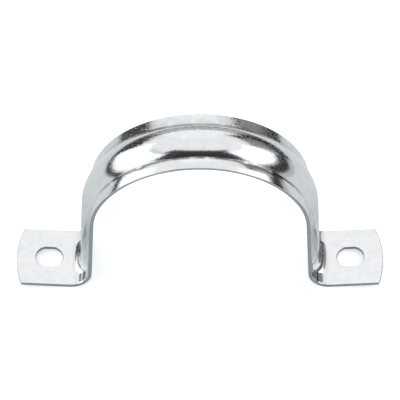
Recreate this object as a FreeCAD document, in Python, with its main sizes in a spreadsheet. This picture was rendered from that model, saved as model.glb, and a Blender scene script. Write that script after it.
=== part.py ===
import FreeCAD, Part
import math
import os
import Sketcher
from FreeCAD import Placement, Rotation, Vector

# Omega clamp: a two-hole saddle of pressed sheet steel that holds a pipe
# against a flat surface. One strip of sheet makes it: a half-round arch over
# the pipe, two legs that spread a little on the way down, two foot bends and
# two slotted feet. A stiffening bead runs over the arch and down both legs
# and dies out in the foot bends. The feet rise a little towards their ends,
# because they are pulled flat only when the screws are tightened.
# Frame: X along the feet, Y across the strip, Z up. The origin is in the
# middle of the surface that the foot bends rest on.

# Driving sizes, in millimetres and degrees. Those of the bead are measured on
# the sheet's outer face.
SIZES = {
    # inner radius of the arch, which is the pipe's outer radius
    "pipe_radius": 31.5,
    # how far the loose feet stay off the surface that the pipe rests on
    "clamping_gap": 1.5,
    "sheet_thickness": 1.2,
    # the strip is drawn in where the bead is formed, so its feet are wider
    "strap_width": 19.0,
    "foot_width": 20.0,
    # the legs lean outward by this angle and the feet rise by this one
    "leg_splay": 3.8,
    "foot_rise": 4.8,
    # radius on the outer face of the foot bend, at the strip's edges
    "bend_radius": 5.2,
    "bead_height": 2.6,
    # between the middles of the bead's two root arcs
    "bead_width": 12.4,
    "bead_root_radius": 0.8,
    # how far past the foot bend the bead's crown reaches into the foot
    "bead_run_out": 0.5,
    "slot_length": 8.4,
    "slot_width": 7.1,
    "slot_end_radius": 3.7,
    # flat sheet between the bead's end and the slot
    "slot_gap": 2.2,
    # sheet between the slot and the corners of the foot
    "end_margin": 4.0,
    # how far the foot's bowed end stands out past its corners
    "foot_bow": 1.8,
}

# Sections across the foot bend, which the loft runs through.
BEND_STEPS = 9
RUN_OUT_STEPS = 2
# The cutting tools' overlap past the sheet's edges, in millimetres.
CUT_SPARE = 2.0
# A cut takes away at least this much, in cubic millimetres.
LEAST_CUT = 1e-3
# Ends that are this close, in millimetres, are one point.
TOUCHING = 1e-6

doc = FreeCAD.newDocument("OmegaClamp")
sheet = doc.addObject("Spreadsheet::Sheet", "Sizes")
for row, (alias, value) in enumerate(SIZES.items(), start=1):
    sheet.set("A%d" % row, alias)
    sheet.set("B%d" % row, str(value))
    sheet.setAlias("B%d" % row, alias)
doc.recompute()

thickness = sheet.sheet_thickness
outer_radius = sheet.pipe_radius + thickness
axis_height = sheet.pipe_radius - sheet.clamping_gap
splay = math.radians(sheet.leg_splay)
rise = math.radians(sheet.foot_rise)
bend_radius = sheet.bend_radius
bead_height = sheet.bead_height
run_out = sheet.bead_run_out

# The strip's path on the +X side, in the X-Z plane.
# A leg runs along leg_down with leg_out as its outward normal. A foot runs
# along foot_out with foot_up as its upward normal.
leg_down = Vector(math.sin(splay), 0, -math.cos(splay))
leg_out = Vector(math.cos(splay), 0, math.sin(splay))
foot_out = Vector(math.cos(rise), 0, math.sin(rise))
foot_up = Vector(-math.sin(rise), 0, math.cos(rise))
bend_turn = math.pi / 2 - splay + rise

# The foot bend's axis lies outside the leg, one bend radius and one sheet
# above the surface.
axis_reach = outer_radius + bend_radius
axis_drop = axis_height + axis_reach * leg_out.z - bend_radius - thickness
bend_axis = (
    Vector(0, 0, axis_height)
    + leg_out * axis_reach
    + leg_down * (axis_drop / math.cos(splay))
)

# The bead's crown turns into the foot on a tighter arc, which ends at the
# run-out. crown_middle is that arc's middle, seen from the bend's axis.
half_turn = math.tan(bend_turn / 2)
crown_radius = bend_radius + (run_out - bead_height / math.sin(bend_turn)) / half_turn
crown_middle = foot_out * run_out - foot_up * (bend_radius - crown_radius)

# The bead's section is a dome between two small root arcs, all tangent.
# Their middles lie apart by the sum of their radii.
root_radius = sheet.bead_root_radius
root_middle = sheet.bead_width / 2
bead_slope = 2 * math.atan(bead_height / root_middle)
dome_radius = root_middle / math.sin(bead_slope) - root_radius

# Points of a curve, and a sketch's own origin and axes, as a sketch numbers
# them.
START, END, MIDDLE = range(1, 4)
LEVEL_AXIS = -1
UPRIGHT_AXIS = -2
ORIGIN = (LEVEL_AXIS, START)

body = doc.addObject("PartDesign::Body", "ClampStrap")
body.Label = "clamp_strap"


def origin_plane(role):
    """The body's own origin plane with this role."""
    for feature in body.Origin.OriginFeatures:
        if feature.Role == role:
            return feature


def new_sketch(name, role, offset):
    """A sketch on one of the body's origin planes."""
    made = body.newObject("Sketcher::SketchObject", name)
    made.AttachmentSupport = [(origin_plane(role), "")]
    made.MapMode = "FlatFace"
    made.AttachmentOffset = offset
    return made


def strip_section(name, place, lean):
    """A sketch for a section of the strip. It lies at this place, its first
    axis runs across the strip, and its second axis leans from +Z to +X."""
    offset = Placement(
        Vector(0, place.z, place.x), Rotation(Vector(1, 0, 0), math.degrees(lean))
    )
    return new_sketch(name, "YZ_Plane", offset)


def arc(y, z, radius, start, end):
    """An anticlockwise arc about (y, z), between two angles."""
    circle = Part.Circle(Vector(y, z, 0), Vector(0, 0, 1), radius)
    return Part.ArcOfCircle(circle, start, end)


def line(start, end):
    return Part.LineSegment(start, end)


def bead_line(level, root, dome, half_width):
    """One face of the sheet, from its +Y edge over the bead to its -Y edge:
    flange, root, dome, root and flange."""
    quarter = math.pi / 2
    dome_middle = level + root - (root + dome) * math.cos(bead_slope)
    right_root = arc(
        root_middle, level + root, root, -quarter - bead_slope, -quarter
    )
    left_root = arc(
        -root_middle, level + root, root, -quarter, bead_slope - quarter
    )
    return [
        line(Vector(half_width, level, 0), right_root.EndPoint),
        right_root,
        arc(0, dome_middle, dome, quarter - bead_slope, quarter + bead_slope),
        left_root,
        line(left_root.StartPoint, Vector(-half_width, level, 0)),
    ]


def section_lines(outer, width):
    """The strip's closed section: its outer face at this level, its far edge,
    its inner face and its near edge. The faces' arcs share their middles, so
    the sheet's thickness is even."""
    half = width / 2
    inner = outer - thickness
    outer_face = bead_line(outer, root_radius, dome_radius, half)
    inner_face = bead_line(
        inner, root_radius + thickness, dome_radius - thickness, half
    )
    far_edge = [line(Vector(-half, outer, 0), Vector(-half, inner, 0))]
    near_edge = [line(Vector(half, inner, 0), Vector(half, outer, 0))]
    return outer_face, far_edge, list(reversed(inner_face)), near_edge


def lowered(curves, level, share):
    """The same face with its bead at this share of its full height."""
    made = []
    for curve in curves:
        spline = curve.toBSpline()
        for index, pole in enumerate(spline.getPoles(), start=1):
            height = level + (pole.y - level) * share
            spline.setPole(index, Vector(pole.x, height, 0))
        made.append(spline)
    return made


def join(sketch):
    """Ties each curve of a closed outline to the next one: arcs run smoothly
    into their neighbours, and straight lines meet at corners."""
    curves = sketch.Geometry
    for index, curve in enumerate(curves):
        following = (index + 1) % len(curves)
        other = curves[following]
        ends = [
            (first, second)
            for first, here in ((START, curve.StartPoint), (END, curve.EndPoint))
            for second, there in ((START, other.StartPoint), (END, other.EndPoint))
            if here.distanceToPoint(there) < TOUCHING
        ]
        first, second = ends[0]
        straight = (Part.LineSegment, Part.LineSegment)
        kind = "Coincident" if (type(curve), type(other)) == straight else "Tangent"
        sketch.addConstraint(
            Sketcher.Constraint(kind, index, first, following, second)
        )


def drive(sketch, name, constraint, expression):
    """Adds a named constraint and binds its value to the sheet."""
    index = sketch.addConstraint(constraint)
    sketch.renameConstraint(index, name)
    sketch.setExpression("Constraints." + name, expression)


# Where the curves of a section are in its sketch.
OUTER_FLANGE, OUTER_ROOT, OUTER_DOME, FAR_ROOT, FAR_FLANGE, FAR_EDGE = range(6)
FAR_INNER_FLANGE, FAR_INNER_ROOT, INNER_DOME = range(6, 9)
INNER_ROOT, INNER_FLANGE, EDGE = range(9, 12)


def draw_arch_section(sketch):
    """The full section at the arch's radius, with every size bound to the
    sheet."""
    outer_face, far_edge, inner_face, near_edge = section_lines(
        outer_radius, sheet.strap_width
    )
    sketch.addGeometry(outer_face + far_edge + inner_face + near_edge, False)
    join(sketch)
    make = Sketcher.Constraint
    for index in (OUTER_FLANGE, FAR_FLANGE, FAR_INNER_FLANGE, INNER_FLANGE):
        sketch.addConstraint(make("Horizontal", index))
    for index in (FAR_EDGE, EDGE):
        sketch.addConstraint(make("Vertical", index))
    shared_middles = (
        (OUTER_ROOT, INNER_ROOT),
        (OUTER_DOME, INNER_DOME),
        (FAR_ROOT, FAR_INNER_ROOT),
    )
    for first, second in shared_middles:
        sketch.addConstraint(make("Coincident", first, MIDDLE, second, MIDDLE))
    sketch.addConstraint(make("PointOnObject", OUTER_DOME, MIDDLE, UPRIGHT_AXIS))
    sketch.addConstraint(make("Equal", OUTER_ROOT, FAR_ROOT))
    sketch.addConstraint(make("Symmetric", EDGE, END, FAR_EDGE, START, UPRIGHT_AXIS))
    drive(
        sketch,
        "arch_radius",
        make("DistanceY", *ORIGIN, EDGE, START, sheet.pipe_radius),
        "Sizes.pipe_radius",
    )
    drive(
        sketch,
        "sheet_thickness",
        make("DistanceY", EDGE, START, EDGE, END, thickness),
        "Sizes.sheet_thickness",
    )
    drive(
        sketch,
        "half_width",
        make("DistanceX", *ORIGIN, EDGE, START, sheet.strap_width / 2),
        "Sizes.strap_width / 2",
    )
    drive(
        sketch,
        "half_bead",
        make("DistanceX", *ORIGIN, OUTER_ROOT, MIDDLE, root_middle),
        "Sizes.bead_width / 2",
    )
    drive(
        sketch,
        "root_radius",
        make("Radius", OUTER_ROOT, root_radius),
        "Sizes.bead_root_radius",
    )
    drive(
        sketch,
        "dome_radius",
        make("Radius", OUTER_DOME, dome_radius),
        "(Sizes.bead_width ^ 2 / 4 + Sizes.bead_height ^ 2)"
        " / (2 * Sizes.bead_height) - Sizes.bead_root_radius",
    )


def draw_foot_section(sketch):
    """The flat foot's section, with its top face on the sketch's level."""
    half = sheet.foot_width / 2
    corners = [
        Vector(half, 0, 0),
        Vector(-half, 0, 0),
        Vector(-half, -thickness, 0),
        Vector(half, -thickness, 0),
    ]
    sketch.addGeometry(
        [line(start, end) for start, end in zip(corners, corners[1:] + corners[:1])],
        False,
    )
    top, far_side, under, near_side = range(4)
    join(sketch)
    make = Sketcher.Constraint
    sketch.addConstraint(make("Horizontal", under))
    for index in (far_side, near_side):
        sketch.addConstraint(make("Vertical", index))
    sketch.addConstraint(make("PointOnObject", top, START, LEVEL_AXIS))
    sketch.addConstraint(make("Symmetric", top, START, top, END, UPRIGHT_AXIS))
    drive(
        sketch,
        "foot_width",
        make("DistanceX", under, START, under, END, sheet.foot_width),
        "Sizes.foot_width",
    )
    drive(
        sketch,
        "foot_thickness",
        make("DistanceY", near_side, START, near_side, END, thickness),
        "Sizes.sheet_thickness",
    )


def draw_foot_end(sketch):
    """What is cut off the foot past its bowed end. The sketch starts where
    the bead has run out."""
    half = sheet.foot_width / 2
    corner_x = sheet.slot_gap + sheet.slot_length + sheet.end_margin
    past_x = corner_x + sheet.foot_bow + 2 * CUT_SPARE
    wide = half + CUT_SPARE
    bow_radius = (half**2 + sheet.foot_bow**2) / (2 * sheet.foot_bow)
    low_corner = Vector(corner_x, -half, 0)
    high_corner = Vector(corner_x, half, 0)
    tip = Vector(corner_x + sheet.foot_bow, 0, 0)
    points = [
        high_corner,
        Vector(corner_x, wide, 0),
        Vector(past_x, wide, 0),
        Vector(past_x, -wide, 0),
        Vector(corner_x, -wide, 0),
        low_corner,
    ]
    sketch.addGeometry(
        [Part.Arc(low_corner, tip, high_corner)]
        + [line(start, end) for start, end in zip(points, points[1:])],
        False,
    )
    bow, high_side, far_high, past, far_low, low_side = range(6)
    make = Sketcher.Constraint
    sketch.addConstraint(make("Coincident", bow, END, high_side, START))
    for first, second in zip(range(high_side, low_side), range(far_high, low_side + 1)):
        sketch.addConstraint(make("Coincident", first, END, second, START))
    sketch.addConstraint(make("Coincident", low_side, END, bow, START))
    for index in (high_side, low_side):
        sketch.addConstraint(make("Vertical", index))
    for index in (far_high, far_low):
        sketch.addConstraint(make("Horizontal", index))
    sketch.addConstraint(make("Vertical", bow, START, bow, END))
    sketch.addConstraint(make("PointOnObject", bow, MIDDLE, LEVEL_AXIS))
    sketch.addConstraint(make("Symmetric", past, START, past, END, LEVEL_AXIS))
    sketch.addConstraint(make("DistanceY", high_side, START, high_side, END, CUT_SPARE))
    sketch.addConstraint(
        make("DistanceX", far_high, START, far_high, END, past_x - corner_x)
    )
    drive(
        sketch,
        "corner_reach",
        make("DistanceX", *ORIGIN, bow, START, corner_x),
        "Sizes.slot_gap + Sizes.slot_length + Sizes.end_margin",
    )
    drive(
        sketch,
        "foot_width",
        make("DistanceY", bow, START, bow, END, sheet.foot_width),
        "Sizes.foot_width",
    )
    drive(
        sketch,
        "bow_radius",
        make("Radius", bow, bow_radius),
        "(Sizes.foot_width ^ 2 / 4 + Sizes.foot_bow ^ 2) / (2 * Sizes.foot_bow)",
    )


def draw_slot(sketch):
    """The screw slot: two long sides and two end arcs that are a little
    wider than the slot, as its punch leaves them."""
    half_width = sheet.slot_width / 2
    end_radius = sheet.slot_end_radius
    near_x = sheet.slot_gap
    far_x = near_x + sheet.slot_length
    side_reach = end_radius - math.sqrt(end_radius**2 - half_width**2)
    near_side = near_x + side_reach
    far_side = far_x - side_reach
    far_high = Vector(far_side, half_width, 0)
    near_high = Vector(near_side, half_width, 0)
    near_low = Vector(near_side, -half_width, 0)
    far_low = Vector(far_side, -half_width, 0)
    sketch.addGeometry(
        [
            line(far_high, near_high),
            Part.Arc(near_high, Vector(near_x, 0, 0), near_low),
            line(near_low, far_low),
            Part.Arc(far_low, Vector(far_x, 0, 0), far_high),
        ],
        False,
    )
    high, near_end, low, far_end = range(4)
    make = Sketcher.Constraint
    joints = ((high, near_end), (near_end, low), (low, far_end), (far_end, high))
    for first, second in joints:
        sketch.addConstraint(make("Coincident", first, END, second, START))
    for index in (high, low):
        sketch.addConstraint(make("Horizontal", index))
    sketch.addConstraint(make("Symmetric", near_end, START, near_end, END, LEVEL_AXIS))
    sketch.addConstraint(make("Equal", near_end, far_end))
    for end in (near_end, far_end):
        sketch.addConstraint(make("PointOnObject", end, MIDDLE, LEVEL_AXIS))
    drive(
        sketch,
        "slot_width",
        make("DistanceY", low, START, high, END, sheet.slot_width),
        "Sizes.slot_width",
    )
    drive(
        sketch,
        "end_radius",
        make("Radius", near_end, end_radius),
        "Sizes.slot_end_radius",
    )
    drive(
        sketch,
        "near_middle",
        make("DistanceX", *ORIGIN, near_end, MIDDLE, near_x + end_radius),
        "Sizes.slot_gap + Sizes.slot_end_radius",
    )
    drive(
        sketch,
        "far_middle",
        make("DistanceX", *ORIGIN, far_end, MIDDLE, far_x - end_radius),
        "Sizes.slot_gap + Sizes.slot_length - Sizes.slot_end_radius",
    )


def crown_distance(turned, radius, leg_face):
    """How far the bead's crown lies from the bend's axis, along the ray that
    has turned this much from the leg towards the foot. The crown follows the
    leg down to its arc, and then the arc."""
    arc_start = leg_face * math.tan(turned)
    if turned < math.pi / 2 and arc_start <= crown_middle.dot(leg_down):
        return leg_face / math.cos(turned)
    ray = leg_down * math.sin(turned) - leg_out * math.cos(turned)
    along = ray.dot(crown_middle)
    beside = crown_middle.dot(crown_middle) - along**2
    return along + math.sqrt(radius**2 - beside)


def draw_bend_section(sketch, width, outer_share, inner_share):
    """A section across the bend, seen from the bend's axis, with the bead at
    these shares of its height on the two faces. Its curves are splines with
    as many points in each section, so that the loft joins like to like."""
    outer_level = -bend_radius
    outer_face, far_edge, inner_face, near_edge = section_lines(outer_level, width)
    sketch.addGeometry(
        lowered(outer_face, outer_level, outer_share)
        + far_edge
        + lowered(inner_face, outer_level - thickness, inner_share)
        + near_edge,
        False,
    )


def must_shrink(feature, base, what):
    """A cut that points away from the solid would leave it as it was."""
    if feature.Shape.Volume > base.Shape.Volume - LEAST_CUT:
        raise ValueError("%s cuts nothing" % what)


# Arch: the strip's section turned about the pipe's axis.
arch_section = strip_section("ArchSection", Vector(0, 0, axis_height), 0)
draw_arch_section(arch_section)
arch = body.newObject("PartDesign::Revolution", "Arch")
arch.Profile = arch_section
arch.ReferenceAxis = (arch_section, ["H_Axis"])
arch.Midplane = True
arch.setExpression("Angle", "180 - 2 * Sizes.leg_splay")

# Leg: the same section, straight down from the end of the arch.
leg_lean = math.pi / 2 - splay
leg_section = strip_section("LegSection", Vector(0, 0, axis_height), leg_lean)
draw_arch_section(leg_section)
leg = body.newObject("PartDesign::Pad", "Leg")
leg.Profile = leg_section
leg.setExpression(
    "Length",
    "(Sizes.pipe_radius - Sizes.clamping_gap - Sizes.bend_radius"
    " - Sizes.sheet_thickness + (Sizes.pipe_radius + Sizes.sheet_thickness"
    " + Sizes.bend_radius) * sin(Sizes.leg_splay)) / cos(Sizes.leg_splay)",
)

# Foot bend: sections that fan out about the bend's axis.
# The bead sinks from its full height at the leg to nothing past the bend,
# and the strip widens from the strap to the foot.
outer_leg_face = bend_radius - bead_height
inner_leg_face = outer_leg_face + thickness
inner_crown_radius = crown_radius + thickness
bend_sections = []
for step in range(BEND_STEPS + 1):
    part_way = step / BEND_STEPS
    turned = bend_turn * part_way
    eased = part_way**2 * (3 - 2 * part_way)
    width = sheet.strap_width + eased * (sheet.foot_width - sheet.strap_width)
    outer_crown = crown_distance(turned, crown_radius, outer_leg_face)
    inner_crown = crown_distance(turned, inner_crown_radius, inner_leg_face)
    section = strip_section("BendSection%d" % step, bend_axis, leg_lean - turned)
    draw_bend_section(
        section,
        width,
        (bend_radius - outer_crown) / bead_height,
        (bend_radius + thickness - inner_crown) / bead_height,
    )
    bend_sections.append(section)

for step in range(1, RUN_OUT_STEPS + 1):
    along = run_out * step / RUN_OUT_STEPS
    to_go = run_out - along
    outer_left, inner_left = (
        radius - math.sqrt(radius**2 - to_go**2)
        for radius in (crown_radius, inner_crown_radius)
    )
    section = strip_section(
        "RunOutSection%d" % step, bend_axis + foot_out * along, -rise
    )
    draw_bend_section(
        section,
        sheet.foot_width,
        outer_left / bead_height,
        inner_left / bead_height,
    )
    bend_sections.append(section)

foot_bend = body.newObject("PartDesign::AdditiveLoft", "FootBend")
foot_bend.Profile = bend_sections[0]
foot_bend.Sections = bend_sections[1:]
foot_bend.Ruled = False

# Foot: flat sheet, cut to its bowed end and slotted.
foot_start = bend_axis + foot_out * run_out - foot_up * bend_radius
foot_section = strip_section("FootSection", foot_start, -rise)
draw_foot_section(foot_section)
foot = body.newObject("PartDesign::Pad", "Foot")
foot.Profile = foot_section
foot.setExpression(
    "Length",
    "(Sizes.slot_gap + Sizes.slot_length + Sizes.end_margin"
    " + Sizes.foot_bow + %s) / cos(Sizes.foot_rise)" % CUT_SPARE,
)

foot_plan = Placement(Vector(foot_start.x, 0, 0), Rotation())
end_outline = new_sketch("FootEndOutline", "XY_Plane", foot_plan)
draw_foot_end(end_outline)
foot_end = body.newObject("PartDesign::Pocket", "FootEnd")
foot_end.Profile = end_outline
foot_end.Type = "ThroughAll"
foot_end.Midplane = True

slot_outline = new_sketch("SlotOutline", "XY_Plane", foot_plan)
draw_slot(slot_outline)
slot = body.newObject("PartDesign::Pocket", "ScrewSlot")
slot.Profile = slot_outline
slot.Type = "ThroughAll"
slot.Midplane = True

# The -X side is the mirror image.
other_side = body.newObject("PartDesign::Mirrored", "OtherSide")
other_side.Originals = [leg, foot_bend, foot, foot_end, slot]
other_side.MirrorPlane = (origin_plane("YZ_Plane"), [""])
body.Tip = other_side
doc.recompute()

must_shrink(foot_end, foot, "the foot's end")
must_shrink(slot, foot_end, "the screw slot")
for item in doc.Objects:
    if "Invalid" in item.State or "Error" in item.State:
        raise ValueError("%s failed: %s" % (item.Name, item.State))
if body.Shape.isNull() or not body.Shape.isValid():
    raise ValueError("%s has no valid shape" % body.Label)
if len(body.Shape.Solids) != 1:
    raise ValueError("%s isn't one solid" % body.Label)

os.makedirs("parts", exist_ok=True)
body.Shape.exportStep("parts/%s.step" % body.Label)

slot_middle = foot_start.x + sheet.slot_gap + sheet.slot_length / 2
print("arch axis height", round(axis_height, 4))
print("slot middles at x", round(slot_middle, 4))
print("foot starts at", foot_start)
print("crown's bend radius", round(crown_radius, 4))
print("volume", round(body.Shape.Volume, 2))
print("box", body.Shape.optimalBoundingBox(True, False))
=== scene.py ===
# %% [markdown]
# Omega clamp
#
# An omega clamp is a saddle that holds a pipe against a wall. It is pressed from one strip of
# sheet steel and bright zinc plated: an arch over the pipe, two legs, two bends and two slotted
# feet, with a stiffening bead running over the arch and dying out in the bends.
#
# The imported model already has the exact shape, but as loose triangles, and a mirror-like metal
# shows every facet. So the strap is modelled here once more as a smooth mesh of four-sided faces,
# in the same place and from the same sizes, and its plating is a material of its own.

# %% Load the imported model
import math

import bmesh
import bpy
from mathutils import Matrix, Vector


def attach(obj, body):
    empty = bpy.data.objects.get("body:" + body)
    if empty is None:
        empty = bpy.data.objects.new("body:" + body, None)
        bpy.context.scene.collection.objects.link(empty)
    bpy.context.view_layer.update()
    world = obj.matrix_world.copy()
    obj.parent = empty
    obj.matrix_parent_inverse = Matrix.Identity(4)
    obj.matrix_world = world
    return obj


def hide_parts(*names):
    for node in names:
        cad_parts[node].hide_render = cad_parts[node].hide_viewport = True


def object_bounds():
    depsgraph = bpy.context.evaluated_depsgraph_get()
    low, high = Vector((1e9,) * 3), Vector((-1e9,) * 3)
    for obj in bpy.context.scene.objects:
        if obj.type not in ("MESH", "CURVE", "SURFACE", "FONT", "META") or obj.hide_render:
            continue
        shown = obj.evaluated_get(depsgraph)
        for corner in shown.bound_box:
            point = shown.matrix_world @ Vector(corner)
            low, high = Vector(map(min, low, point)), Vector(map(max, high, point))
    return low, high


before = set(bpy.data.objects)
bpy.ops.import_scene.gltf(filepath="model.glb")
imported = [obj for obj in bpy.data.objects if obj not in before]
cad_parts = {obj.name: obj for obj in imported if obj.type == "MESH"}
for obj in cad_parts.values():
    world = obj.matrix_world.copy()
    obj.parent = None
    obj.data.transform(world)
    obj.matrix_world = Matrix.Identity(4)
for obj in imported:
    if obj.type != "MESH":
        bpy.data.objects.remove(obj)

CAD_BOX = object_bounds()
print("CAD box", CAD_BOX)

# %% [markdown]
# The camera
#
# The clamp was seen from the front and well above, through a long lens. A camera is placed by
# three things: what it looks at, from which side and how far off. The lens then sets how large
# the object is in the picture. Placing it first gives every later look the same view.

# %% The camera
# Blender gives the sensor and the lens in millimetres, and everything else in metres.
MM = 0.001
PICTURE_SIDE = 400
SENSOR_WIDTH = 36
FOCAL_PIXELS = 1845
CAMERA_DISTANCE = 548 * MM
CAMERA_ELEVATION = math.radians(55.5)
AIM = Vector((0, 0, 32.9 * MM))

camera_data = bpy.data.cameras.new("view")
camera_data.sensor_width = SENSOR_WIDTH
camera_data.lens = FOCAL_PIXELS * SENSOR_WIDTH / PICTURE_SIDE
camera = bpy.data.objects.new("view", camera_data)
backward = Vector((0, -math.cos(CAMERA_ELEVATION), math.sin(CAMERA_ELEVATION)))
camera.location = AIM + backward * CAMERA_DISTANCE
camera.rotation_euler = backward.to_track_quat("Z", "Y").to_euler()
bpy.context.scene.collection.objects.link(camera)
bpy.context.scene.camera = camera
print("lens", round(camera_data.lens, 1), "mm at", round(CAMERA_DISTANCE, 3), "m")

# %% [markdown]
# The strip's path
#
# Seen from the front, the strip is a half circle over the pipe, a straight leg that leans a
# little outward, a bend about an axis outside the leg, and a foot that rises a little outward.
# It could be drawn as a curve, but its arcs have exact radii, and four directions and two axes
# give every part of it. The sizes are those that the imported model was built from.

# %% The strip's path
PIPE_RADIUS = 31.5 * MM
AXIS_HEIGHT = 30.0 * MM
THICKNESS = 1.2 * MM
BEND_RADIUS = 5.2 * MM
SPLAY = math.radians(3.8)
RISE = math.radians(4.8)

OUTER_RADIUS = PIPE_RADIUS + THICKNESS
leg_down = Vector((math.sin(SPLAY), 0, -math.cos(SPLAY)))
leg_out = Vector((math.cos(SPLAY), 0, math.sin(SPLAY)))
foot_out = Vector((math.cos(RISE), 0, math.sin(RISE)))
foot_up = Vector((-math.sin(RISE), 0, math.cos(RISE)))
arch_axis = Vector((0, 0, AXIS_HEIGHT))
axis_reach = OUTER_RADIUS + BEND_RADIUS
axis_drop = AXIS_HEIGHT + axis_reach * leg_out.z - BEND_RADIUS - THICKNESS
leg_length = axis_drop / math.cos(SPLAY)
bend_axis = arch_axis + leg_out * axis_reach + leg_down * leg_length
bend_turn = math.pi / 2 - SPLAY + RISE
print("leg", round(leg_length / MM, 2), "mm, bend", round(math.degrees(bend_turn), 1), "degrees")

# %% [markdown]
# The rear flange
#
# The sheet's outer face is drawn first, as a chain of edges across the top of the arch, from the
# rear edge to the front one. A chain starts from a single vertex. Extruding its last vertex draws
# a straight edge, and the first one is the flat flange behind the bead.

# %% The rear flange
STRAP_WIDTH = 19.0 * MM
BEAD_WIDTH = 12.4 * MM

root_middle = BEAD_WIDTH / 2
flange_level = AXIS_HEIGHT + OUTER_RADIUS


def line_to(bm, vert, place):
    """Draws a straight edge from this vertex and gives its end."""
    end = bmesh.ops.extrude_vert_indiv(bm, verts=[vert])["verts"][0]
    end.co = place
    return end


strap = bmesh.new()
tip = strap.verts.new((0, STRAP_WIDTH / 2, flange_level))
tip = line_to(strap, tip, (0, root_middle, flange_level))
print("rear flange", round((STRAP_WIDTH / 2 - root_middle) / MM, 2), "mm wide")

# %% [markdown]
# The bead's back
#
# A raised bead stiffens a thin strip, as a fold stiffens paper. It is three arcs that meet
# smoothly: a small hollow one, the round back, and the small one again. Spin works on a single
# vertex too: turned about a point it leaves a chain of edges behind, which is the neatest way to
# draw an arc of an exact radius.

# %% The bead's back
BEAD_HEIGHT = 2.6 * MM
BEAD_ROOT_RADIUS = 0.8 * MM
ROOT_STEPS = 6
DOME_STEPS = 28
ALONG = Vector((1, 0, 0))

bead_slope = 2 * math.atan(BEAD_HEIGHT / root_middle)
dome_radius = root_middle / math.sin(bead_slope) - BEAD_ROOT_RADIUS
root_level = flange_level + BEAD_ROOT_RADIUS
dome_level = root_level - (BEAD_ROOT_RADIUS + dome_radius) * math.cos(bead_slope)


def turned_chain(bm, vert, centre, axis, angle, steps):
    """Draws an arc from this vertex and gives its last vertex."""
    made = bmesh.ops.spin(
        bm, geom=[vert], cent=centre, axis=axis, angle=angle, steps=steps, space=Matrix()
    )
    return [item for item in made["geom_last"] if isinstance(item, bmesh.types.BMVert)][0]


for centre, angle, steps in (
    ((0, root_middle, root_level), -bead_slope, ROOT_STEPS),
    ((0, 0, dome_level), 2 * bead_slope, DOME_STEPS),
    ((0, -root_middle, root_level), -bead_slope, ROOT_STEPS),
):
    tip = turned_chain(strap, tip, centre, ALONG, angle, steps)
print("bead's back", round(dome_radius / MM, 2), "mm in radius")

# %% [markdown]
# The front flange
#
# The press leaves the front flange turned down towards its edge, by about half a millimetre. A
# bright surface shows even that, because it mirrors another part of the room there, so this
# flange is an arc as well.

# %% The front flange
FLANGE_STEPS = 8
FLANGE_TURN = math.radians(20)

flange_radius = (STRAP_WIDTH / 2 - root_middle) / FLANGE_TURN
flange_centre = (0, -root_middle, flange_level - flange_radius)
turned_chain(strap, tip, flange_centre, ALONG, FLANGE_TURN, FLANGE_STEPS)
flange_drop = flange_radius * (1 - math.cos(FLANGE_TURN))
print("section", len(strap.verts), "points, front edge down", round(flange_drop / MM, 2), "mm")

# %% [markdown]
# Painted shade along the crease beside the bead
#
# Where a flange meets the bead, the press leaves a sharp line that is too fine to model. The
# shade that falls in it is painted into the colour instead, and the mesh carries where: an
# attribute, a number at each vertex, 1 on the line and less beside it. The spins and extrusions
# that follow copy it along the strip, and the material reads it. At the rear the painted shade is
# fainter.

# %% Painted shade along the crease beside the bead
CREASE_INSIDE = 0.22 * MM
CREASE_REACH = 0.42 * MM
REAR_CREASE_SHADE = 0.3

# The attribute marks where the material paints shade along the crease.
crease_shade = strap.verts.layers.float.new("crease_shade")
for vert in strap.verts:
    off_line = abs(abs(vert.co.y) - root_middle + CREASE_INSIDE) / CREASE_REACH
    vert[crease_shade] = max(0.0, 1.0 - off_line) * (1.0 if vert.co.y < 0 else REAR_CREASE_SHADE)
print("crease on", sum(vert[crease_shade] > 0 for vert in strap.verts), "points of the section")

# %% [markdown]
# The arch
#
# The arch is the half circle that lies on the pipe. Half the strap is enough, because the other
# half is its mirror image. The section is spun about the pipe's axis, from the top of the arch
# down to the leg. Many small steps keep long reflections smooth, and each step is a spin of its
# own, so that the script keeps every ring of vertices and can shape it afterwards.

# %% The arch
ARCH_STEPS = 72
ACROSS = Vector((0, 1, 0))


def ends_of(geom):
    """The vertices and edges in what an operator gives back."""
    verts = [item for item in geom if isinstance(item, bmesh.types.BMVert)]
    edges = [item for item in geom if isinstance(item, bmesh.types.BMEdge)]
    return verts, edges


def swept(bm, edges, centre, angle, steps):
    """Spins these edges about an axis across the strip, and gives the rings of
    vertices on the way and the last ring's edges."""
    rings = []
    for step in range(steps):
        verts = list({vert for edge in edges for vert in edge.verts})
        made = bmesh.ops.spin(
            bm,
            geom=verts + edges,
            cent=centre,
            axis=ACROSS,
            angle=angle / steps,
            steps=1,
            space=Matrix(),
        )
        verts, edges = ends_of(made["geom_last"])
        rings.append(verts)
    return rings, edges


arch_turn = math.pi / 2 - SPLAY
arch_rings, arch_end = swept(strap, list(strap.edges), arch_axis, arch_turn, ARCH_STEPS)
print("half the arch", len(strap.faces), "faces")

# %% [markdown]
# The front flange grows flat
#
# Towards the legs the press holds the strip straight between its two sides, so the front flange,
# turned down at the top of the arch, is flat where the leg starts. A smooth step, slow at both
# ends, leads from one to the other without a kink in the reflections.

# %% The front flange grows flat
FLAT_FROM = math.radians(42)
FLAT_AT = math.radians(74)


def smooth_step(share):
    """A share from 0 to 1, made slow at both ends."""
    share = min(1.0, max(0.0, share))
    return share**2 * (3 - 2 * share)


def flatten_flange(verts, outward, share):
    """Brings a ring's front flange back to the arch's outer face, by this share."""
    for vert in verts:
        if vert.co.y < -root_middle:
            sunk = OUTER_RADIUS - (vert.co - arch_axis).dot(outward)
            vert.co += outward * sunk * share


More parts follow.
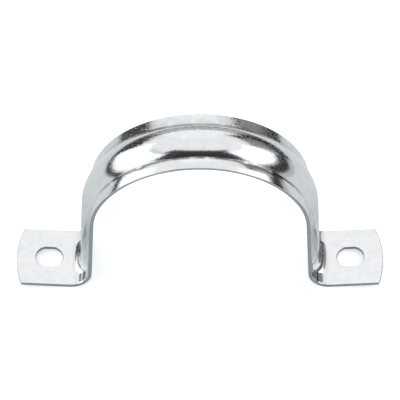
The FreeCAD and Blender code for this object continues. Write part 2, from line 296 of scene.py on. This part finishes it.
for step, verts in enumerate(arch_rings, start=1):
    turned = arch_turn * step / ARCH_STEPS
    outward = Vector((math.sin(turned), 0, math.cos(turned)))
    flatten_flange(verts, outward, smooth_step((turned - FLAT_FROM) / (FLAT_AT - FLAT_FROM)))
print("front flange flat from", round(math.degrees(FLAT_AT)), "degrees off the top")

# %% [markdown]
# The leg
#
# The leg reaches from the arch down to the foot. It is straight, so the arch's last ring is
# extruded along it. One long step would give the same shape, but a few short ones keep its faces
# nearer the size of the arch's, and smooth shading between them even.

# %% The leg
LEG_STEPS = 9


def pushed(bm, edges, direction, steps):
    """Extrudes these edges along a direction in equal steps, and gives the
    rings of vertices and the last ring's edges."""
    rings = []
    for step in range(steps):
        made = bmesh.ops.extrude_edge_only(bm, edges=edges)
        verts, edges = ends_of(made["geom"])
        bmesh.ops.translate(bm, verts=verts, vec=direction / steps)
        rings.append(verts)
    return rings, edges


leg_rings, leg_end = pushed(strap, arch_end, leg_down * leg_length, LEG_STEPS)
print("leg", len(leg_rings), "rings")

# %% [markdown]
# How the bead dies out
#
# This is the form that the press works hardest for. The strip turns outward into the foot, while
# the bead's crown turns on a tighter arc and sinks into the flat foot like a tongue. It could be
# sculpted, but both arcs are known, and so is how much of the bead's height is left between them
# at any part of the turn.

# %% How the bead dies out
BEAD_RUN_OUT = 0.5 * MM

half_tangent = math.tan(bend_turn / 2)
crown_radius = BEND_RADIUS + (BEAD_RUN_OUT - BEAD_HEIGHT / math.sin(bend_turn)) / half_tangent
crown_middle = foot_out * BEAD_RUN_OUT - foot_up * (BEND_RADIUS - crown_radius)
crown_line = BEND_RADIUS - BEAD_HEIGHT


def from_axis(turned):
    """The direction from the bend's axis to the strip, after this much of the bend."""
    return leg_down * math.sin(turned) - leg_out * math.cos(turned)


def bead_share(turned):
    """How much of the bead's height is left after this much of the bend. Its
    crown goes straight on for a while, and then round the tighter arc."""
    if turned < math.pi / 2:
        if crown_line * math.tan(turned) <= crown_middle.dot(leg_down):
            return (BEND_RADIUS - crown_line / math.cos(turned)) / BEAD_HEIGHT
    ahead = from_axis(turned).dot(crown_middle)
    beside = crown_middle.dot(crown_middle) - ahead**2
    return (BEND_RADIUS - ahead - math.sqrt(crown_radius**2 - beside)) / BEAD_HEIGHT


print("share of the bead left half way round", round(bead_share(bend_turn / 2), 3))

# %% [markdown]
# The foot bend
#
# The plain bend is spun first, as the arch was but the other way round. Each ring's bead is then
# lowered to the share of its height that is left there. The strip also widens a little, because
# the bead no longer draws it in.

# %% The foot bend
FOOT_WIDTH = 20.0 * MM
BEND_STEPS = 30


def lower_bead(verts, outward, share):
    """Moves a ring's vertices towards the flanges' level, so that the bead
    keeps this share of its height."""
    for vert in verts:
        raised = BEND_RADIUS - (vert.co - bend_axis).dot(outward)
        vert.co += outward * raised * (1 - share)
        # The painted crease shade fades with the bead's height.
        vert[crease_shade] *= share


def widen(verts, share):
    """Moves a ring's two outermost vertices this share of the way out to the
    foot's width."""
    in_order = sorted(verts, key=lambda vert: vert.co.y)
    for rim, side in ((in_order[0], -FOOT_WIDTH / 2), (in_order[-1], FOOT_WIDTH / 2)):
        rim.co.y += share * (side - rim.co.y)


bend_rings, bend_end = swept(strap, leg_end, bend_axis, -bend_turn, BEND_STEPS)
for step, verts in enumerate(bend_rings, start=1):
    turned = bend_turn * step / BEND_STEPS
    lower_bead(verts, from_axis(turned), bead_share(turned))
    widen(verts, smooth_step(step / BEND_STEPS))
print("foot bend", len(bend_rings), "rings, widened to", round(FOOT_WIDTH / MM), "mm")

# %% [markdown]
# The bead's last trace
#
# Past the bend, the bead's crown runs out into the foot for another half millimetre. The ring at
# the bend's end is extruded by that much, and what is left of the bead is lowered along the
# crown's arc, as in the bend.

# %% The bead's last trace
RUN_OUT_STEPS = 4

start_share = bead_share(bend_turn)
run_rings, run_end = pushed(strap, bend_end, foot_out * BEAD_RUN_OUT, RUN_OUT_STEPS)
for step, verts in enumerate(run_rings, start=1):
    to_go = BEAD_RUN_OUT * (1 - step / RUN_OUT_STEPS)
    left = (crown_radius - math.sqrt(crown_radius**2 - to_go**2)) / BEAD_HEIGHT
    lower_bead(verts, -foot_up, left / start_share)
print("share of the bead left after the bend", round(start_share, 4))

# %% [markdown]
# The foot's outline
#
# The foot is a flat plate with a bowed end. It could be a plane that is cut to shape, but then it
# would have to be joined to the strip. So its outline is drawn in plan, from the strip's last
# ring out to one corner, round the bow and back to the ring.

# %% The foot's outline
SLOT_GAP = 2.2 * MM
SLOT_LENGTH = 8.4 * MM
END_MARGIN = 4.0 * MM
FOOT_BOW = 1.8 * MM
BOW_STEPS = 24
UPWARD = Vector((0, 0, 1))

foot_start = bend_axis + foot_out * BEAD_RUN_OUT - foot_up * BEND_RADIUS
corner_x = foot_start.x + SLOT_GAP + SLOT_LENGTH + END_MARGIN
bow_radius = ((FOOT_WIDTH / 2) ** 2 + FOOT_BOW**2) / (2 * FOOT_BOW)
bow_middle = Vector((corner_x + FOOT_BOW - bow_radius, 0, 0))
bow_angle = 2 * math.asin(FOOT_WIDTH / 2 / bow_radius)

last_ring = sorted(run_rings[-1], key=lambda vert: vert.co.y)
strip_verts = set(strap.verts)
tip = line_to(strap, last_ring[-1], (corner_x, FOOT_WIDTH / 2, 0))
tip = turned_chain(strap, tip, bow_middle, UPWARD, -bow_angle, BOW_STEPS)
strap.edges.new((tip, last_ring[0]))
print("foot's corners", round(corner_x / MM, 2), "mm out, bow", round(bow_radius / MM, 1), "mm")

# %% [markdown]
# The screw slot
#
# The slot lets the screw find its place in the wall. It is a little longer than wide, with two
# straight sides and two end arcs that are flatter than a half circle. They are drawn as the foot
# was, in plan.

# %% The screw slot
SLOT_WIDTH = 7.1 * MM
SLOT_END_RADIUS = 3.7 * MM
SLOT_STEPS = 28

near_x = foot_start.x + SLOT_GAP + SLOT_END_RADIUS
far_x = foot_start.x + SLOT_GAP + SLOT_LENGTH - SLOT_END_RADIUS
side_x = math.sqrt(SLOT_END_RADIUS**2 - (SLOT_WIDTH / 2) ** 2)
slot_turn = math.pi - 2 * math.acos(SLOT_WIDTH / 2 / SLOT_END_RADIUS)

first = strap.verts.new((near_x - side_x, SLOT_WIDTH / 2, 0))
tip = turned_chain(strap, first, (near_x, 0, 0), UPWARD, slot_turn, SLOT_STEPS)
tip = line_to(strap, tip, (far_x + side_x, -SLOT_WIDTH / 2, 0))
tip = turned_chain(strap, tip, (far_x, 0, 0), UPWARD, slot_turn, SLOT_STEPS)
strap.edges.new((tip, first))
print("slot", round(SLOT_LENGTH / MM, 1), "by", round(SLOT_WIDTH / MM, 1), "mm")

# %% [markdown]
# The foot's face
#
# The outline and the slot are lifted onto the foot's slope, and the area between them is filled.
# Filling is the right tool here, because on a flat face the layout of the faces doesn't show.

# %% The foot's face
foot_verts = [vert for vert in strap.verts if vert not in strip_verts]
for vert in foot_verts:
    vert.co.z = foot_start.z + (vert.co.x - foot_start.x) * math.tan(RISE)
foot_edges = [edge for edge in strap.edges if not strip_verts.issuperset(edge.verts)]
bmesh.ops.triangle_fill(
    strap, edges=run_end + foot_edges, use_beauty=True, normal=foot_up
)
print("half the strap", len(strap.faces), "faces")

# %% [markdown]
# The whole outer face
#
# The half is mirrored, and the two are welded into one. Vertices that no face uses are deleted.
# Mirroring turns faces inside out, so they are all turned outward before the sheet gets its
# thickness.

# %% The whole outer face
WELD = 0.001 * MM

bmesh.ops.mirror(strap, geom=list(strap.faces), axis="X", merge_dist=WELD)
loose = [vert for vert in strap.verts if not vert.link_faces]
bmesh.ops.delete(strap, geom=loose, context="VERTS")
bmesh.ops.remove_doubles(strap, verts=list(strap.verts), dist=WELD)
bmesh.ops.recalc_face_normals(strap, faces=list(strap.faces))
top_face = max(strap.faces, key=lambda face: face.calc_center_median().z)
if top_face.normal.z < 0:
    bmesh.ops.reverse_faces(strap, faces=list(strap.faces))
print("outer face", len(strap.faces), "faces")

# %% [markdown]
# The thickness
#
# Solidify gives the sheet its thickness inward from the outer face, also under the bead, which is
# hollow as on any pressed sheet. A second attribute tells the two faces of the sheet apart, 0 on
# the outer and 1 on the inner one, so that the material can shade a sheared edge by how deep into
# the sheet it is.

# %% The thickness
outer_verts = set(strap.verts)
bmesh.ops.solidify(strap, geom=list(strap.faces), thickness=THICKNESS)
depth = strap.verts.layers.float.new("depth")
for vert in strap.verts:
    vert[depth] = 0.0 if vert in outer_verts else 1.0
print("sheet", round(THICKNESS / MM, 2), "mm thick,", len(strap.faces), "faces")

# %% [markdown]
# Walls that stand upright
#
# The foot's sides, its end and its slot are punched straight down, though the foot rises.
# Solidify leaves their lower edges square to the sheet instead, so these edges are moved back to
# right below the upper ones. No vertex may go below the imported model's lowest point.

# %% Walls that stand upright
# Past FOOT_SIDE_X a face belongs to the foot. The other two say how far along Y, or along Z, the
# direction of a face has to point, where 1 is all the way.
FOOT_SIDE_X = foot_start.x + SLOT_GAP / 4
FACES_SIDEWAYS = 0.85
FACES_UPWARD = 0.5


def is_cut(face):
    """Whether this face is a sheared edge. On the strip such a face looks
    sideways, and on the foot it stands upright."""
    if abs(face.calc_center_median().x) < FOOT_SIDE_X:
        return abs(face.normal.y) > FACES_SIDEWAYS
    return abs(face.normal.z) < FACES_UPWARD


moved = 0
for vert in strap.verts:
    if vert in outer_verts or abs(vert.co.x) < FOOT_SIDE_X:
        continue
    if any(is_cut(face) for face in vert.link_faces):
        set_back = math.copysign(THICKNESS * math.sin(RISE), vert.co.x)
        vert.co.x -= set_back
        vert.co.z -= abs(set_back) * math.tan(RISE)
        moved += 1
for vert in strap.verts:
    vert.co.z = max(vert.co.z, CAD_BOX[0][2])
print("moved", moved, "vertices back by", round(THICKNESS * math.sin(RISE) / MM, 2), "mm")

# %% [markdown]
# Sheared edges
#
# Shears and punches leave a small radius at each edge, and it catches the light. It could be
# shaded with a bump, but a bevel of two segments makes it real, and it shows from all sides. The
# sharp edges are found by the angle between their two faces.

# %% Sheared edges
EDGE_ROUND = 0.22 * MM
EDGE_SEGMENTS = 2
SHARP = math.radians(50)

strap.normal_update()
sharp = [
    edge for edge in strap.edges if edge.is_manifold and edge.calc_face_angle() > SHARP
]
bmesh.ops.bevel(
    strap,
    geom=sharp,
    affect="EDGES",
    offset=EDGE_ROUND,
    offset_type="OFFSET",
    segments=EDGE_SEGMENTS,
    profile=0.5,
    material=-1,
    clamp_overlap=True,
)
print("rounded", len(sharp), "sharp edges")

# %% [markdown]
# Which faces were cut
#
# The plating looks duller on a sheared edge, so those faces are marked with an attribute of their
# own. Every face is shaded smooth.

# %% Which faces were cut
cut_layer = strap.faces.layers.float.new("cut_edge")
for face in strap.faces:
    face.smooth = True
    face[cut_layer] = float(is_cut(face))
cut_count = sum(is_cut(face) for face in strap.faces)
volume = strap.calc_volume() / MM**3
print("faces", len(strap.faces), "cut", cut_count, "volume", round(volume, 1), "mm3")

# %% [markdown]
# The strap as a piece
#
# Smooth shading blends the directions of the faces that meet at a vertex, and the narrow faces of
# a rounded edge would tilt the flat one beside them. A mirror-like metal shows that at once, as
# reflections that slant. The Weighted Normal modifier lets the largest face decide. The piece
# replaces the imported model's strap, and rides on the body that never moves.

# %% The strap as a piece
LARGEST_FACE_FIRST = 100

strap_mesh = bpy.data.meshes.new("strap")
strap.to_mesh(strap_mesh)
strap.free()
strap_piece = bpy.data.objects.new("strap", strap_mesh)
bpy.context.scene.collection.objects.link(strap_piece)
flat_faces = strap_piece.modifiers.new("flat_faces", "WEIGHTED_NORMAL")
flat_faces.weight = LARGEST_FACE_FIRST
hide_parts("clamp_strap")
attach(strap_piece, "root")
print("piece", strap_piece.name, "with", len(strap_mesh.vertices), "vertices")

# %% [markdown]
# Colours
#
# Colours are written as hex codes, as in any paint program. A hex code is made for a screen, and
# a shader needs linear light, so one function turns every colour below.

# %% Colours


def linear(code):
    """A colour written as sRGB hex, in linear light. The numbers in it are the
    sRGB standard's own."""
    parts = [int(code[at : at + 2], 16) / 255 for at in (0, 2, 4)]
    return tuple(
        part / 12.92 if part <= 0.04045 else ((part + 0.055) / 1.055) ** 2.4
        for part in parts
    ) + (1.0,)


print("half grey on a screen is", round(linear("808080")[0], 3), "in linear light")

# %% [markdown]
# Nodes
#
# A material is a small network of nodes. One helper adds any kind of node with its settings and
# its links, so that each material below reads as a list of what it is made of. The plating's
# patterns are placed on the object itself, so that they stay on the metal as it turns.

# %% Nodes


def add(tree, kind, inputs, **settings):
    """Adds a node with its settings. Inputs name a socket, or give its number, and
    its value, which may be another node or one of its outputs."""
    node = tree.nodes.new(kind)
    for name, value in settings.items():
        setattr(node, name, value)
    for socket, value in inputs.items():
        if isinstance(value, bpy.types.Node):
            value = next(output for output in value.outputs if output.enabled)
        if isinstance(value, bpy.types.NodeSocket):
            tree.links.new(value, node.inputs[socket])
        else:
            node.inputs[socket].default_value = value
    return node


def new_material(name):
    """An empty node material and its node tree."""
    made = bpy.data.materials.new(name)
    made.use_nodes = True
    made.node_tree.nodes.clear()
    return made, made.node_tree


plating, tree = new_material("bright_zinc_plating")
place = add(tree, "ShaderNodeTexCoord", {}).outputs["Object"]
print("material", plating.name)

# %% [markdown]
# Bright zinc plating: the patterns
#
# Bright zinc is a thin electroplated layer over cold-rolled steel: bluish silver and glossy. Its
# crystals are far too small to see, but the rolled sheet under it has a fine grain and tiny dull
# pits, here drawn half a millimetre wide so that they show. No pressed sheet is quite even, so a
# wider, weak mottle lies over it. The press has also drawn streaks down the legs. Each pattern is
# a noise with its size in millimetres, and the streaks are a noise stretched along Z.

# %% The plating's patterns
# A noise's scale is how many of its grains fit in a metre, and the sizes are in millimetres.
PER_METRE = 1000
GRAIN_SIZE = 0.7
PIT_SIZE = 0.45
MOTTLE_SIZE = 2.6
STREAK_SIZE = 0.55
STREAK_LENGTH = 9.0

drawn_out = (1, 1, STREAK_SIZE / STREAK_LENGTH)
stretched = add(tree, "ShaderNodeMapping", {"Vector": place, "Scale": drawn_out})
grain, pits, mottle, streak = (
    add(
        tree,
        "ShaderNodeTexNoise",
        {"Vector": where, "Scale": PER_METRE / size, "Detail": detail},
    )
    for where, size, detail in (
        (place, GRAIN_SIZE, 3.0),
        (place, PIT_SIZE, 2.0),
        (place, MOTTLE_SIZE, 4.0),
        (stretched, STREAK_SIZE, 3.0),
    )
)
print("patterns", GRAIN_SIZE, PIT_SIZE, MOTTLE_SIZE, STREAK_SIZE, "mm")

# %% [markdown]
# Where the streaks show
#
# The streaks belong to the legs, so a mask fades them in below the arch and out above the feet.
# It could be painted, but the height on the object is all that it needs. Two soft ranges are
# multiplied, each given as the height where its pattern starts and the height where it is full.

# %% Where the streaks show
BELOW_ARCH = (46 * MM, 22 * MM)
ABOVE_FOOT = (2.5 * MM, 7 * MM)

split_place = add(tree, "ShaderNodeSeparateXYZ", {"Vector": place})
height = split_place.outputs["Z"]
below_arch, above_foot = (
    add(
        tree,
        "ShaderNodeMapRange",
        {"Value": height, "From Min": start, "From Max": full},
        interpolation_type="SMOOTHSTEP",
    )
    for start, full in (BELOW_ARCH, ABOVE_FOOT)
)
on_leg = add(
    tree, "ShaderNodeMath", {0: below_arch, 1: above_foot}, operation="MULTIPLY"
)
print("streaks up to", round(BELOW_ARCH[0] / MM), "mm above the wall")

# %% [markdown]
# Where the sheet's skin is open
#
# The skin of a rolled sheet is seldom the same across its width. Here its grain and pits are more
# open towards the rear, and a mask from front to rear says how much of them shows.

# %% Where the sheet's skin is open
CLOSED_AT_Y = -3 * MM
OPEN_AT_Y = 1 * MM
CLOSED_SKIN = 0.35

open_skin = add(
    tree,
    "ShaderNodeMapRange",
    {
        "Value": split_place.outputs["Y"],
        "From Min": CLOSED_AT_Y,
        "From Max": OPEN_AT_Y,
        "To Min": CLOSED_SKIN,
    },
    interpolation_type="SMOOTHSTEP",
)
print("grain at", CLOSED_SKIN, "of its strength in front")

# %% [markdown]
# Where the painted crease shade shows
#
# Along the foot of the bead a dark line is painted, as shade in the sharp crease. The mesh
# carries it as an attribute. The mottle's noise breaks the line into dashes, and it fades where
# the arch turns down into the legs.

# %% Where the painted crease shade shows
# A noise runs from 0 to 1. A pair gives where in it a pattern starts, and where it is full.
DASH_NOISE = (0.28, 0.5)
UP_THE_ARCH = (41 * MM, 50 * MM)

# Painted shade: the crease attribute says how dark the line is painted.
crease_shade_line = add(tree, "ShaderNodeAttribute", {}, attribute_name="crease_shade")
dashes = add(
    tree,
    "ShaderNodeMapRange",
    {"Value": mottle, "From Min": DASH_NOISE[0], "From Max": DASH_NOISE[1]},
)
on_arch = add(
    tree,
    "ShaderNodeMapRange",
    {"Value": height, "From Min": UP_THE_ARCH[0], "From Max": UP_THE_ARCH[1]},
    interpolation_type="SMOOTHSTEP",
)
crease_shade_share = crease_shade_line.outputs["Fac"]
for mask in (dashes, on_arch):
    crease_shade_share = add(
        tree, "ShaderNodeMath", {0: crease_shade_share, 1: mask}, operation="MULTIPLY"
    )
print("crease from", round(UP_THE_ARCH[0] / MM), "mm above the wall")

# %% [markdown]
# Where a cut edge is torn
#
# Shears leave an edge in two bands: the outer one is cut smooth and the inner one is torn. The
# mark on the cut faces and the depth into the sheet, multiplied, give the torn band.

# %% Where a cut edge is torn
TORN_DEPTH = (0.35, 0.75)
TORN_MOST = 0.6

cut, into_sheet = (
    add(tree, "ShaderNodeAttribute", {}, attribute_name=name).outputs["Fac"]
    for name in ("cut_edge", "depth")
)
torn = add(
    tree,
    "ShaderNodeMapRange",
    {
        "Value": into_sheet,
        "From Min": TORN_DEPTH[0],
        "From Max": TORN_DEPTH[1],
        "To Max": TORN_MOST,
    },
)
torn_share = add(tree, "ShaderNodeMath", {0: torn, 1: cut}, operation="MULTIPLY")
print("torn from", TORN_DEPTH[0], "of the depth")

# %% [markdown]
# Clouds and streaks
#
# The clear film over the plating has faint clouds, which take the mottle's noise. The streaks
# take their own noise, but only on the legs. Each noise becomes a share by a range: below it
# little or none of the colour is laid on, and above it all.

# %% Clouds and streaks
CLOUD_NOISE = (0.4, 0.7)
STREAK_NOISE = (0.35, 0.65)
BETWEEN_STREAKS = 0.15

clouds, streak_colour = (
    add(
        tree,
        "ShaderNodeMapRange",
        {"Value": noise, "From Min": start, "From Max": full, "To Min": least},
    )
    for noise, (start, full), least in (
        (mottle, CLOUD_NOISE, 0),
        (streak, STREAK_NOISE, BETWEEN_STREAKS),
    )
)
streak_share = add(
    tree, "ShaderNodeMath", {0: streak_colour, 1: on_leg}, operation="MULTIPLY"
)
print("clouds in noise", CLOUD_NOISE, "streaks in noise", STREAK_NOISE)

# %% [markdown]
# Colour
# A metal's base colour is what it reflects. Clean plating is the lightest. The clouds are a
# little greyer, the drawn streaks duller and bluer, and the torn edge darker than the smooth cut.
# The crease is painted dark, as shade in it. Each colour is laid over the one before it by its
# own mask.

# %% The plating's colour
ZINC = linear("E0E2E4")
CLOUDY_ZINC = linear("D9DCDF")
DRAWN_ZINC = linear("ABB7BD")
# Painted shade: the dark line in the crease beside the bead.
CREASE_SHADE_GREY = linear("3E4346")
CUT_ZINC = linear("C3CACD")
TORN_ZINC = linear("7A8185")

colour = ZINC
for share, laid_over in (
    (clouds, CLOUDY_ZINC),
    (streak_share, DRAWN_ZINC),
    # painted shade in the crease
    (crease_shade_share, CREASE_SHADE_GREY),
    (cut, CUT_ZINC),
    (torn_share, TORN_ZINC),
):
    colour = add(
        tree,
        "ShaderNodeMix",
        {"Factor": share, "A": colour, "B": laid_over},
        data_type="RGBA",
    )
print("plating reflects", [round(part, 2) for part in ZINC[:3]])

# %% [markdown]
# Roughness
#
# Roughness decides how sharp a reflection is. The plating is bright, with a few duller pits that
# show as a grain where it reflects something dark. The drawn legs and the sheared edges are
# rougher.

# %% The plating's roughness
PLATED_ROUGHNESS = (0.09, 0.14)
DRAWN_ROUGHNESS = (0.15, 0.27)
PIT_ROUGHNESS = 0.34
CUT_ROUGHNESS = 0.45
ROUGH_NOISE = (0.3, 0.7)
PIT_NOISE = (0.51, 0.64)

plated_rough, drawn_rough, pit_share = (
    add(
        tree,
        "ShaderNodeMapRange",
        {
            "Value": noise,
            "From Min": start,
            "From Max": full,
            "To Min": least,
            "To Max": most,
        },
    )
    for noise, (start, full), (least, most) in (
        (mottle, ROUGH_NOISE, PLATED_ROUGHNESS),
        (streak, ROUGH_NOISE, DRAWN_ROUGHNESS),
        (pits, PIT_NOISE, (0, 1)),
    )
)
pitted = add(
    tree, "ShaderNodeMath", {0: pit_share, 1: open_skin}, operation="MULTIPLY"
)
rough = plated_rough
for share, laid_over in (
    (pitted, PIT_ROUGHNESS),
    (on_leg, drawn_rough),
    (torn_share, CUT_ROUGHNESS),
):
    rough = add(tree, "ShaderNodeMix", {"Factor": share, "A": rough, "B": laid_over})
print("roughness", PLATED_ROUGHNESS, "plated,", DRAWN_ROUGHNESS, "drawn")

# %% [markdown]
# Bumps
#
# Bumps tilt the shading without moving the surface, which is right for anything too shallow to
# see from the side: grain, streaks and mottle, each bump laid over the one before it. The grain
# is weaker on the foot, which the press has flattened, and the streaks are on the legs alone.

# %% The plating's bumps
BUMP_DEPTH = 0.1 * MM
GRAIN_STRENGTH = (0.05, 0.3)
STREAK_STRENGTH = 0.25
MOTTLE_STRENGTH = 0.12

grain_share = add(
    tree, "ShaderNodeMath", {0: above_foot, 1: open_skin}, operation="MULTIPLY"
)
grain_strength = add(
    tree,
    "ShaderNodeMapRange",
    {"Value": grain_share, "To Min": GRAIN_STRENGTH[0], "To Max": GRAIN_STRENGTH[1]},
)
streak_strength = add(
    tree, "ShaderNodeMath", {0: on_leg, 1: STREAK_STRENGTH}, operation="MULTIPLY"
)
normal = add(tree, "ShaderNodeNewGeometry", {}).outputs["Normal"]
for pattern, strength in (
    (grain, grain_strength),
    (streak, streak_strength),
    (mottle, MOTTLE_STRENGTH),
):
    normal = add(
        tree,
        "ShaderNodeBump",
        {"Height": pattern, "Strength": strength, "Distance": BUMP_DEPTH, "Normal": normal},
    )
print("bumps", round(BUMP_DEPTH / MM, 2), "mm deep at most")

# %% [markdown]
# The shader
#
# The Principled shader takes colour, roughness and bumps. Metallic is 1, as for any bare metal,
# and its other settings keep their defaults.

# %% The plating's shader
surface = add(
    tree,
    "ShaderNodeBsdfPrincipled",
    {"Base Color": colour, "Metallic": 1.0, "Roughness": rough, "Normal": normal},
)
add(tree, "ShaderNodeOutputMaterial", {"Surface": surface})
strap_mesh.materials.append(plating)
print("material", plating.name, "with", len(tree.nodes), "nodes")

# %% [markdown]
# The floor
#
# A plain round floor of paper, nearly two metres across. It lies a hair below the clamp, so that
# the two never share a surface, and it takes the clamp's soft shadow.

# %% The floor
FLOOR_REACH = 0.9
FLOOR_DROP = 0.02 * MM
FLOOR_SIDES = 96

floor_bm = bmesh.new()
bmesh.ops.create_circle(floor_bm, cap_ends=True, segments=FLOOR_SIDES, radius=FLOOR_REACH)
bmesh.ops.translate(floor_bm, verts=floor_bm.verts, vec=(0, 0, -FLOOR_DROP))
floor_mesh = bpy.data.meshes.new("floor")
floor_bm.to_mesh(floor_mesh)
floor_bm.free()
floor = bpy.data.objects.new("floor", floor_mesh)
bpy.context.scene.collection.objects.link(floor)
print("floor", 2 * FLOOR_REACH, "m across")

# %% [markdown]
# The floor's paper
#
# White paper is matt, so a plain diffuse shader stands for it. The studio lights it to a light
# grey, and a glow that only the camera sees lifts that to white, so that the floor's edge doesn't
# show against the white beyond it. The metal mirrors the paper as it is lit. With the glow in its
# reflections too, the legs would turn as white as the floor.

# %% The floor's paper
PAPER_WHITE = linear("F0F3F4")
PAPER_GLOW = 0.48

paper, tree = new_material("white_paper_floor")
seen = add(tree, "ShaderNodeLightPath", {}).outputs["Is Camera Ray"]
strength = add(tree, "ShaderNodeMath", {0: seen, 1: PAPER_GLOW}, operation="MULTIPLY")
glow = add(tree, "ShaderNodeEmission", {"Strength": strength})
matt = add(tree, "ShaderNodeBsdfDiffuse", {"Color": PAPER_WHITE})
both = add(tree, "ShaderNodeAddShader", {0: matt, 1: glow})
add(tree, "ShaderNodeOutputMaterial", {"Surface": both})
floor_mesh.materials.append(paper)
print("material", paper.name, "with a glow of", PAPER_GLOW)

# %% [markdown]
# Soft studio light
#
# A mirror-like metal looks like what stands around it, so the studio is laid out first and its
# brightness second. There are large soft lights overhead and behind, a brighter box on each side,
# and lower panels in front that the back of the clamp mirrors. A grey backdrop, two cards and a
# ledge give the middle tones, and the gaps between them show the dim room, which the metal needs
# for its dark lines. Lamps and boards would do as well, but as a list of panels in the world's
# background the whole studio is short, and it renders with less noise.

# %% The studio's panels
# How bright the dim room is, and each panel: its brightness, its two azimuths and how soft those
# edges are, and the same for its two elevations, in degrees. Azimuth 0 is behind the clamp, and
# azimuths grow to the right.
ROOM = 0.035
PANELS = {
    "overhead": (1.08, (-181, 181), 1, (58, 91), 3),
    "overhead_wide": (1.08, (-132, 134), 5, (47, 91), 5),
    "behind": (1.17, (-36, 26), 6, (20.5, 70), 1.2),
    "behind_left": (1.08, (-92, -30), 6, (27.5, 70), 3),
    "behind_right": (1.06, (18, 72), 6, (39.5, 70), 1.8),
    "grey_card": (0.3, (38, 60), 8, (13, 45), 8),
    "right_box": (1.5, (66, 140), 4, (18.5, 54), 3),
    "right_card": (0.5, (57.5, 68), 3, (12, 32), 3),
    "right_ledge": (0.66, (62, 140), 5, (-3, 3), 2),
    "left_box": (1.42, (-140, -57), 2, (5, 46), 2.5),
    "front_left": (0.8, (-190, -128), 6, (2, 27), 4),
    "front_right": (0.8, (128, 190), 6, (2, 27), 4),
    "backdrop": (0.58, (-25, 23), 7, (0.6, 17.8), 0.6),
}
print("studio panels", len(PANELS))

# %% [markdown]
# Directions in the studio
#
# The world's background is coloured by the direction that a ray leaves in. Two angles, as on a
# globe, make that direction easy to think about: how far round it points, and how far up.

# %% Directions in the studio
world = bpy.data.worlds.new("studio")
bpy.context.scene.world = world
world.use_nodes = True
tree = world.node_tree
tree.nodes.clear()
way = add(tree, "ShaderNodeTexCoord", {}).outputs["Generated"]
across, rearward, upward = add(tree, "ShaderNodeSeparateXYZ", {"Vector": way}).outputs
turned_to = add(
    tree, "ShaderNodeMath", {0: across, 1: rearward}, operation="ARCTAN2"
)
raised_to = add(tree, "ShaderNodeMath", {0: upward}, operation="ARCSINE")
azimuth, elevation = (
    add(tree, "ShaderNodeMath", {0: angle, 1: math.degrees(1)}, operation="MULTIPLY")
    for angle in (turned_to, raised_to)
)
print("world", world.name)

# %% [markdown]
# The panels' light
#
# Each panel is full inside its two pairs of angles and fades at its soft edges. Four ranges
# multiplied give that, and where panels overlap the brighter one shows. The camera itself sees
# plain white there, at a strength of 1.

# %% The panels' light
WHITE = (1, 1, 1, 1)

level = ROOM
for bright, sides, side_soft, heights, height_soft in PANELS.values():
    share = bright
    for angle, (low, high), soft in (
        (azimuth, sides, side_soft),
        (elevation, heights, height_soft),
    ):
        for out_of, into in ((low - soft, low + soft), (high + soft, high - soft)):
            edge = add(
                tree,
                "ShaderNodeMapRange",
                {"Value": angle, "From Min": out_of, "From Max": into},
                interpolation_type="SMOOTHSTEP",
            )
            share = add(
                tree, "ShaderNodeMath", {0: share, 1: edge}, operation="MULTIPLY"
            )
    level = add(tree, "ShaderNodeMath", {0: level, 1: share}, operation="MAXIMUM")
studio, plain = (
    add(tree, "ShaderNodeBackground", {"Color": WHITE, "Strength": strength})
    for strength in (level, 1.0)
)
by_camera = add(tree, "ShaderNodeLightPath", {}).outputs["Is Camera Ray"]
sky = add(tree, "ShaderNodeMixShader", {0: by_camera, 1: studio, 2: plain})
add(tree, "ShaderNodeOutputWorld", {"Surface": sky})
print("world", world.name, "with", len(tree.nodes), "nodes")

# %% [markdown]
# Colours as they are written
#
# Blender can bend bright colours as film does. The Standard view leaves them alone, so that a
# colour shows as it was written.

# %% Colours as they are written
bpy.context.scene.view_settings.view_transform = "Standard"
print("view", bpy.context.scene.view_settings.view_transform)
